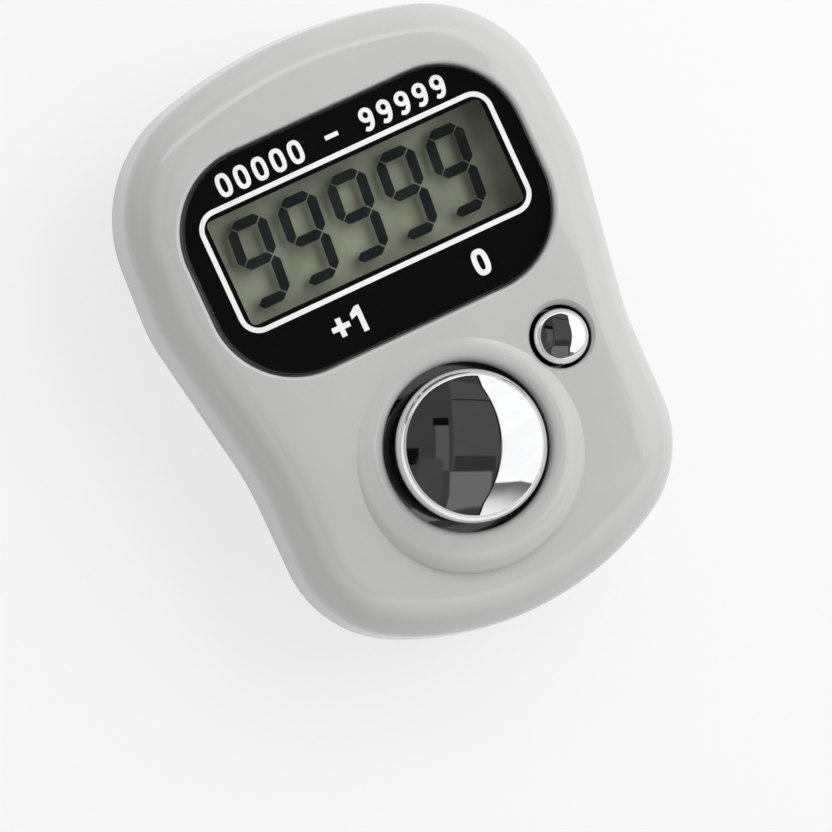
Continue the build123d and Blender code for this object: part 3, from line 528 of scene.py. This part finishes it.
def rounded_loop(corners, radius, steps):
    """A closed profile with rounded corners, each a quadratic curve from radius before to radius after."""
    corners = np.asarray(corners, float)
    before = np.roll(corners, 1, 0) - corners
    after = np.roll(corners, -1, 0) - corners
    reach = np.minimum(np.linalg.norm(before, axis=1), np.linalg.norm(after, axis=1)) * CORNER_SHARE
    reach = np.minimum(reach, radius)[:, None]
    start = corners + before / np.linalg.norm(before, axis=1)[:, None] * reach
    end = corners + after / np.linalg.norm(after, axis=1)[:, None] * reach
    t = np.linspace(0, 1, steps)[None, :, None]
    curve = (1 - t) ** 2 * start[:, None] + 2 * t * (1 - t) * corners[:, None] + t**2 * end[:, None]
    return curve.reshape(-1, 2)


def dome_section(boss, boss_foot, knee, flange, bore, crown, ceiling):
    """Corners (r, z) of a dome's wall: boss, thin cone, flange on the board, then back up the inside."""
    return [
        (POLE, BOSS_TOP), (boss, BOSS_TOP), (boss, boss_foot), (knee, FLANGE_TOP), (flange, FLANGE_TOP),
        (flange, BOARD_TOP), (bore, BOARD_TOP), (bore, BORE_TOP), (crown, ceiling), (POLE, ceiling),
    ]


def rubber_dome(name, node, centre, section):
    """A dome spun round its axis: a profile point (r, z) goes to centre + r (cos a, sin a) at height z."""
    loop = rounded_loop(section, DOME_ROUNDING, DOME_CORNER_STEPS)
    angle = np.linspace(0, 2 * np.pi, DOME_TURNS, endpoint=False)
    r, z = loop[:, 0][None, :], loop[:, 1][None, :]
    x = centre[0] + r * np.cos(angle)[:, None]
    y = centre[1] + r * np.sin(angle)[:, None]
    points = np.stack([x, y, np.broadcast_to(z, x.shape)], -1).reshape(-1, 3)
    faces = grid_faces(len(angle), len(loop))
    piece = put_mesh(name, points, faces, "case", rubber, smooth=True)
    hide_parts(node)
    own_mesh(piece)


count_section = dome_section(
    boss=2.2, boss_foot=7.25, knee=3.7, flange=4.35, bore=3.35, crown=1.85, ceiling=6.9
)
reset_section = dome_section(
    boss=1.1, boss_foot=7.05, knee=1.65, flange=1.9, bore=1.3, crown=0.75, ceiling=6.7
)
rubber_dome("count_dome_rubber", "count_dome", COUNT, count_section)
rubber_dome("reset_dome_rubber", "reset_dome", RESET, reset_section)

# Printed numbers: the ink's levels in the lens's back, and the rows over and under the display
INK_LEVELS = (LENS_BACK + 0.002, LENS_BACK + 0.008)
INK_DEPTH = INK_LEVELS[1] - INK_LEVELS[0]
OVAL_POWER = 2.6
NOUGHT_TURNS = 56
RING_TURNS = 48
TAIL_STEPS = 24
HEAD_ROW = {"height": 1.55, "stroke": 0.29, "pitch": 1.27}
FOOT_ROW = {"height": 1.75, "stroke": 0.36, "pitch": 1.40}
HEAD_PLACE = (0.0, 12.98)
STEP_PLACE = (-3.9, 1.75)
ZERO_PLACE = (5.4, 1.75)


def nought(middle, height, stroke):
    """A printed 0: a closed band between two rounded ovals |x/a|^p + |y/b|^p = 1, a little thick."""
    angle = np.linspace(0, 2 * np.pi, NOUGHT_TURNS, endpoint=False)
    cosine, sine = np.cos(angle), np.sin(angle)
    reach = (np.abs(cosine) ** OVAL_POWER + np.abs(sine) ** OVAL_POWER) ** (-1 / OVAL_POWER)
    half_wide, half_high = 0.31 * height, 0.5 * height
    rings = []
    for cut, depth in ((0, 0), (0, 1), (stroke, 1), (stroke, 0)):
        x = middle[0] + (half_wide - cut) * reach * cosine
        y = middle[1] + (half_high - cut) * reach * sine
        rings.append(np.stack([x, y, np.full(NOUGHT_TURNS, INK_LEVELS[depth])], -1))
    return [(np.stack(rings, 1).reshape(-1, 3), grid_faces(NOUGHT_TURNS, len(rings)))]


def slab(outline):
    """A printed mark with straight sides: its outline carried from the lower to the upper ink level."""
    count = len(outline)
    low, high = (np.column_stack([outline, np.full(count, z)]) for z in INK_LEVELS)
    here = np.arange(count)
    beside = (here + 1) % count
    walls = np.stack([here, beside, beside + count, here + count], -1).tolist()
    ends = [here[::-1].tolist(), (here + count).tolist()]
    return [(np.concatenate([low, high]), walls + ends)]


def one(middle, height, stroke):
    """A printed 1: an upright bar with a short sloping flag at its head."""
    bar_right = 0.13 * height
    bar_left = bar_right - stroke
    top, foot = 0.5 * height, -0.5 * height
    flag_left = bar_left - 0.24 * height
    flag_top, flag_root, flag_lean = top - 0.20 * height, top - 0.12 * height, 0.02 * height
    outline = np.array([
        (bar_left, foot), (bar_right, foot), (bar_right, top), (bar_left + flag_lean, top),
        (flag_left, flag_top), (flag_left, flag_top - stroke), (bar_left, flag_root - stroke),
    ])
    return slab(outline + np.asarray(middle))


def ribbon(line, stroke, lift=0.0):
    """A printed stroke: a flat strip of even width carried along a line of points, closed at both ends."""
    along = np.gradient(line, axis=0)
    along /= np.linalg.norm(along, axis=1)[:, None]
    aside = np.column_stack([-along[:, 1], along[:, 0]]) * stroke / 2
    count = len(line)
    rails = []
    for way, depth in ((-1, 0), (-1, 1), (1, 1), (1, 0)):
        rails.append(np.column_stack([line + way * aside, np.full(count, INK_LEVELS[depth] + lift)]))
    points = np.stack(rails, 1).reshape(-1, 3)
    around = len(rails)
    row, rail = np.meshgrid(np.arange(count - 1), np.arange(around), indexing="ij")
    beside = (rail + 1) % around
    corners = ((row, rail), (row, beside), (row + 1, beside), (row + 1, rail))
    walls = np.stack([r * around + c for r, c in corners], -1).reshape(-1, len(corners)).tolist()
    start = np.arange(around)
    ends = [start[::-1].tolist(), (start + around * (count - 1)).tolist()]
    return [(points, walls + ends)]


def nine(middle, height, stroke):
    """A printed 9: an oval ring, and over it a tail on a cubic curve that goes down and to the left."""
    angle = np.linspace(0, 2 * np.pi, RING_TURNS, endpoint=False)
    a, b, ring_y = 0.30 * height - stroke / 2, 0.315 * height - stroke / 2, 0.185 * height
    centre = np.asarray(middle)
    ring = np.column_stack([a * np.cos(angle), ring_y + b * np.sin(angle)])
    outward = np.column_stack([np.cos(angle) / a, np.sin(angle) / b])
    outward *= stroke / 2 / np.linalg.norm(outward, axis=1)[:, None]
    bands = []
    for way, depth in ((1, 0), (1, 1), (-1, 1), (-1, 0)):
        edge = ring + way * outward + centre
        bands.append(np.column_stack([edge, np.full(RING_TURNS, INK_LEVELS[depth])]))
    drop, sag_x, sag_y, tip = -0.28 * height, 0.04 * height, -0.52 * height, -0.34 * height
    corners = np.array([(a, ring_y), (a, drop), (sag_x, sag_y), (-a, tip)])
    t = np.linspace(0, 1, TAIL_STEPS)[:, None]
    weights = [(1 - t) ** 3, 3 * t * (1 - t) ** 2, 3 * t**2 * (1 - t), t**3]
    tail = sum(weight * corner for weight, corner in zip(weights, corners))
    loop = (np.stack(bands, 1).reshape(-1, 3), grid_faces(RING_TURNS, len(bands)))
    return [loop] + ribbon(tail + centre, stroke, INK_DEPTH)


def dash(middle, height, stroke):
    """A printed dash: a short level stroke at half height."""
    reach = 0.30 * height
    return ribbon(np.array([(-reach, 0.0), (0.0, 0.0), (reach, 0.0)]) + np.asarray(middle), stroke)


def plus(middle, height, stroke):
    """A printed plus sign: two equal bars that cross."""
    a, b = 0.36 * height, stroke / 2
    outline = np.array([
        (-b, -a), (b, -a), (b, -b), (a, -b), (a, b), (b, b),
        (b, a), (-b, a), (-b, b), (-a, b), (-a, -b), (-b, -b),
    ])
    return slab(outline + np.asarray(middle))


MARKS = {"0": nought, "1": one, "9": nine, "+": plus, "-": dash}


def number(characters, middle, height, stroke, pitch):
    """Marks for a row of characters, evenly set about its middle."""
    first = middle[0] - (len(characters) - 1) / 2 * pitch
    drawn = []
    for i, character in enumerate(characters):
        if character != " ":
            drawn += MARKS[character]((first + i * pitch, middle[1]), height, stroke)
    return drawn


marks = number("00000 - 99999", HEAD_PLACE, **HEAD_ROW)
marks += number("+1", STEP_PLACE, **FOOT_ROW)
marks += number("0", ZERO_PLACE, **FOOT_ROW)
starts = np.cumsum([0] + [len(points) for points, _ in marks])
all_points = np.concatenate([points for points, _ in marks])
all_faces = [
    [int(v) + int(first) for v in face]
    for (_, faces), first in zip(marks, starts)
    for face in faces
]
put_mesh("printed_numbers", all_points, all_faces, "case", white_print, smooth=False)

# Floor: half its width and its drop in metres, and the share of it that shows as plain white
FLOOR_HALF = 1.5
FLOOR_DROP = 0.00005
FLOOR_WHITE_SHARE = 0.72


def floor_plane():
    """A plain pale floor under the counter, faintly uneven, and nearly white to the eye and in mirrors."""
    data = bpy.data.meshes.new("floor")
    corners = [(x * FLOOR_HALF, y * FLOOR_HALF, 0.0) for x, y in ((-1, -1), (1, -1), (1, 1), (-1, 1))]
    data.from_pydata(corners, [], [(0, 1, 2, 3)])
    look = Finish("floor_pale")
    body = look.mottle(look.noise(size=90.0), one=(0.78, 0.78, 0.78), two=(0.80, 0.80, 0.80))
    look.set(Base_Color=body, Roughness=0.9, Specular_IOR_Level=0.1)
    light_path = look.add("ShaderNodeLightPath").outputs
    seen = look.math("MAXIMUM", light_path["Is Camera Ray"], light_path["Is Glossy Ray"])
    seen = look.math("MAXIMUM", seen, light_path["Is Transmission Ray"])
    share = look.math("MULTIPLY", seen, FLOOR_WHITE_SHARE)
    white = look.add("ShaderNodeEmission", {"Color": WHITE, "Strength": 1.0}).outputs[0]
    look.surface(look.add("ShaderNodeMixShader", {0: share, 1: look.shader.outputs[0], 2: white}))
    data.materials.append(look.material)
    floor = bpy.data.objects.new("floor", data)
    floor.location.z = -FLOOR_DROP
    scene.collection.objects.link(floor)


floor_plane()

# Camera: looks down on the face from a little to the left, rolled so that the display rises to the right
VIEW_LEAN = (-0.213, 0.048)
VIEW_ROLL = math.radians(-24.69)
VIEW_TARGET = Vector((-2.783, -5.281, 12.0)) * MM
VIEW_DISTANCE = 0.4  # metres
VIEW_LENS = 274.6  # millimetres, as is the sensor's width
VIEW_SENSOR = 36
back = Vector((*VIEW_LEAN, 1)).normalized()
level = Vector((0, 1, 0)).cross(back).normalized()
rise = back.cross(level)
right = level * math.cos(VIEW_ROLL) + rise * math.sin(VIEW_ROLL)
up = -level * math.sin(VIEW_ROLL) + rise * math.cos(VIEW_ROLL)
side = Vector((right.x, right.y, 0)).normalized()
ahead = Vector((up.x, up.y, 0)).normalized()
camera_data = bpy.data.cameras.new("camera")
camera_data.sensor_width = VIEW_SENSOR
camera_data.lens = VIEW_LENS
camera = bpy.data.objects.new("camera", camera_data)
camera.matrix_world = Matrix((right, up, back)).transposed().to_4x4()
camera.matrix_world.translation = VIEW_TARGET + back * VIEW_DISTANCE
scene.collection.objects.link(camera)
scene.camera = camera

# Sky over the counter: a panel's middle, half sizes and edge softness are slopes to the right and up
ROOM_PANEL = ((0.30, 0.06), (0.66, 0.64), 0.02)
WINDOW_PANEL = ((0.65, 0.15), (0.60, 0.80), 0.02)
FRAME_PANEL = ((0.36, 0.1), (0.30, 0.6), 0.02)
STRIP_PANEL = ((-0.25, 0.92), (1.05, 0.18), 0.03)
ROOM_TONE = 0.046
WINDOW_TONE = 1.10
FRAME_TONE = 0.012
STRIP_TONE = 1.70
BOW_MIDDLE = 0.05  # the slope up at which the window's edge is furthest right
BOW_RATE = 0.555  # and how fast it bends back from there
WINDOW_EDGE = (0.440, 0.452)  # the room gives way to the window between these slopes to the right
FRAME_EDGE = (0.424, 0.432)  # the frame line begins between these
SILL_EDGE = (-0.262, -0.244)  # the sill gives way to the window between these slopes up
SILL_RANGE, SILL_TONES = (-0.52, -0.27), (1.05, 0.16)  # and darkens upward like this
SWEEP_RANGE, SWEEP_TONES = (-0.9, 0.9), (0.46, 0.84)  # the high sky from left to right
HORIZON_RANGE, HORIZON_TONES = (-0.6, 0.8), (0.94, 0.58)  # the low sky from left to right
HORIZON_HEIGHTS = (0.05, 0.45)  # low gives way to high between these heights
LEAST_HEIGHT = 0.02
PANEL_HEIGHTS = (LEAST_HEIGHT, 0.1)  # panels show above these heights

# Faint shapes in the dark room: a panel and its tone
ROOM_SHAPES = (
    (((0.23, 0.20), (0.19, 0.34), 0.006), 0.072),
    (((0.23, 0.40), (0.19, 0.006), 0.003), 0.020),
    (((0.22, -0.10), (0.17, 0.06), 0.010), 0.034),
    (((0.19, -0.30), (0.17, 0.14), 0.012), 0.150),
    (((-0.04, 0.02), (0.05, 0.17), 0.008), 0.095),
    (((-0.05, 0.22), (0.06, 0.03), 0.006), 0.004),
    (((-0.27, -0.04), (0.05, 0.06), 0.008), 0.005),
    (((-0.12, -0.22), (0.09, 0.16), 0.030), 0.060),
)


def studio_world():
    """Soft light all round, whitest low on the left; overhead a pale strip and a dark room with a window."""
    world = bpy.data.worlds.new("studio")
    scene.world = world
    world.use_nodes = True
    sky = NodeTree(world.node_tree)
    way = sky.add("ShaderNodeTexCoord").outputs["Generated"]

    def toward(direction):
        """How far the way looked leans toward a direction."""
        inputs = {0: way, 1: direction}
        return sky.add("ShaderNodeVectorMath", inputs, operation="DOT_PRODUCT").outputs["Value"]

    height = toward((0, 0, 1))
    above = sky.span(height, 0.0, 1.0, *PANEL_HEIGHTS)
    safe = sky.math("MAXIMUM", height, LEAST_HEIGHT)
    slope_right = sky.math("DIVIDE", toward(side), safe)
    slope_up = sky.math("DIVIDE", toward(ahead), safe)

    def panel(middle, half, soft):
        """One inside a rectangle of the sky, falling to nothing across its soft edge."""
        inside = []
        for slope, centre, reach in zip((slope_right, slope_up), middle, half):
            off = sky.math("ABSOLUTE", sky.math("SUBTRACT", slope, centre))
            inside.append(sky.span(off, 1.0, 0.0, reach - soft, reach + soft))
        return sky.math("MULTIPLY", sky.math("MULTIPLY", *inside), above)

    # The window begins beyond a bowed edge, with a dark frame line before it and a sill at its foot
    off_level = sky.math("SUBTRACT", slope_up, BOW_MIDDLE)
    bow = sky.math("MULTIPLY", sky.math("MULTIPLY", off_level, off_level), BOW_RATE)
    bowed = sky.math("ADD", slope_right, bow)
    room = sky.math("MULTIPLY", sky.span(bowed, 1.0, 0.0, *WINDOW_EDGE), panel(*ROOM_PANEL))
    window = sky.math("MULTIPLY", sky.span(bowed, 0.0, 1.0, *WINDOW_EDGE), panel(*WINDOW_PANEL))
    frame_line = sky.math("MULTIPLY", panel(*FRAME_PANEL), sky.span(bowed, 0.0, 1.0, *FRAME_EDGE))
    sill = sky.span(slope_up, *SILL_TONES, *SILL_RANGE)
    beyond = sky.blend(sky.span(slope_up, 0.0, 1.0, *SILL_EDGE), sill, WINDOW_TONE)

    sweep = sky.span(toward(side), *SWEEP_TONES, *SWEEP_RANGE)
    horizon = sky.span(toward(side), *HORIZON_TONES, *HORIZON_RANGE)
    light = sky.blend(sky.span(height, 0.0, 1.0, *HORIZON_HEIGHTS), horizon, sweep)
    light = sky.blend(panel(*STRIP_PANEL), light, STRIP_TONE)  # the pale band along the head's rounded edge
    light = sky.blend(room, light, ROOM_TONE)
    for shape, tone in ROOM_SHAPES:
        light = sky.blend(sky.math("MULTIPLY", panel(*shape), room), light, tone)
    light = sky.blend(sky.math("MULTIPLY", frame_line, room), light, FRAME_TONE)
    light = sky.blend(window, light, beyond)
    background = world.node_tree.nodes["Background"]
    sky.put(background.inputs["Strength"], light)
    sky.put(background.inputs["Color"], WHITE)


studio_world()

# Key lamp: metres to the right, ahead and up in the picture, then its size, its watts and where it looks
KEY_RIGHT, KEY_AHEAD, KEY_HEIGHT = 0.095, 0.090, 0.17
KEY_PLACE = side * KEY_RIGHT + ahead * KEY_AHEAD + Vector((0, 0, KEY_HEIGHT))
KEY_SIZE = (0.16, 0.20)
KEY_POWER = 0.29
KEY_AIM = Vector((0, 0, 0.01))


def key_lamp():
    """A soft rectangular lamp that looks at the counter; mirrors and panes don't show it."""
    lamp = bpy.data.lights.new("key_box", "AREA")
    lamp.shape = "RECTANGLE"
    lamp.size, lamp.size_y = KEY_SIZE
    lamp.energy = KEY_POWER
    box = bpy.data.objects.new("key_box", lamp)
    aim = (KEY_AIM - KEY_PLACE).normalized()
    across = aim.cross(up).normalized()
    box.matrix_world = Matrix((across, across.cross(aim), -aim)).transposed().to_4x4()
    box.matrix_world.translation = KEY_PLACE
    box.visible_glossy = False
    box.visible_transmission = False
    scene.collection.objects.link(box)


key_lamp()
